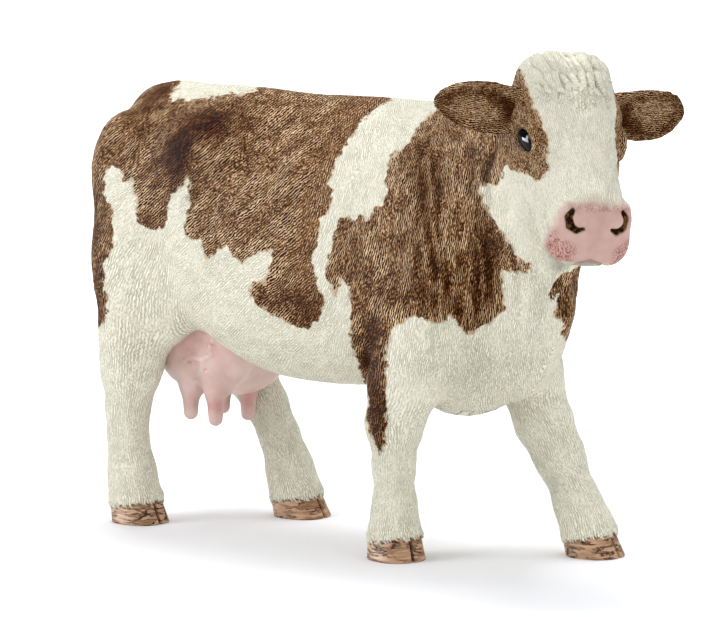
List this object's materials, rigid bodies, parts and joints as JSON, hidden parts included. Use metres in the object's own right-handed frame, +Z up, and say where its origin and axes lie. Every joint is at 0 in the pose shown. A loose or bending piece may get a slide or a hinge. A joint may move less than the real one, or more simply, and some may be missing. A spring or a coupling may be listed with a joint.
{
  "type": "toy farm cow figure",
  "caption": "Standing toy dairy cow in painted vinyl, head turned to its right and one front leg forward, with separate legs, head, ears, tail and udder.",
  "frame": {"origin": "middle of the figure's outline at the level of its soles", "axes": "+X from tail to brisket, +Y to the cow's left, +Z up; soles on z = 0"},
  "size_m": [0.118, 0.0452, 0.0826],
  "materials": {
    "coat": "grained vinyl, cream white with brown patches, dry-brushed over a dark wash",
    "leg_coat": "grained vinyl, cream white, horn-coloured hooves with dark cracks",
    "ear_coat": "grained vinyl, brown, lighter inside",
    "tail_coat": "grained vinyl, brown with a pale switch",
    "udder_skin": "smooth vinyl, pale pink"
  },
  "bodies": {
    "root": {"torso": "coat", "head": "coat", "left_ear": "ear_coat", "right_ear": "ear_coat", "front_right_leg": "leg_coat", "front_left_leg": "leg_coat", "hind_right_leg": "leg_coat", "hind_left_leg": "leg_coat", "udder": "udder_skin", "tail": "tail_coat"}
  },
  "joints": []
}
